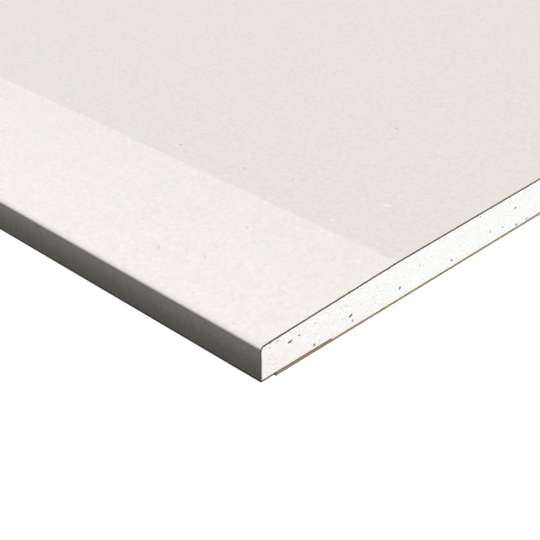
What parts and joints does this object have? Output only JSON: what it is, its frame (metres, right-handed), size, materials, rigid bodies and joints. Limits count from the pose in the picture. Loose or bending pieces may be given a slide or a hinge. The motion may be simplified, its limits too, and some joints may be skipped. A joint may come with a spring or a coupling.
{
  "type": "drywall sheet",
  "caption": "Full drywall sheet lying face up: gypsum core in a wrapped ivory face paper and a brown back paper, with tapered long edges and square-cut ends.",
  "frame": {"origin": "middle of the sheet, on the plane that its back rests on", "axes": "+Y along the tapered long edges, +X across them, +Z from the back to the face"},
  "size_m": [1.2, 2.4, 0.0125],
  "materials": {
    "gypsum": "cut gypsum core, matt white with fine grey speckle and small voids",
    "face_paper": "matt ivory face paper, with its dark grey wrapped side along the long edges",
    "back_paper": "matt grey-brown recycled liner paper"
  },
  "bodies": {
    "root": {"gypsum_core": "gypsum", "face_paper": "face_paper", "back_paper": "back_paper"}
  },
  "joints": []
}
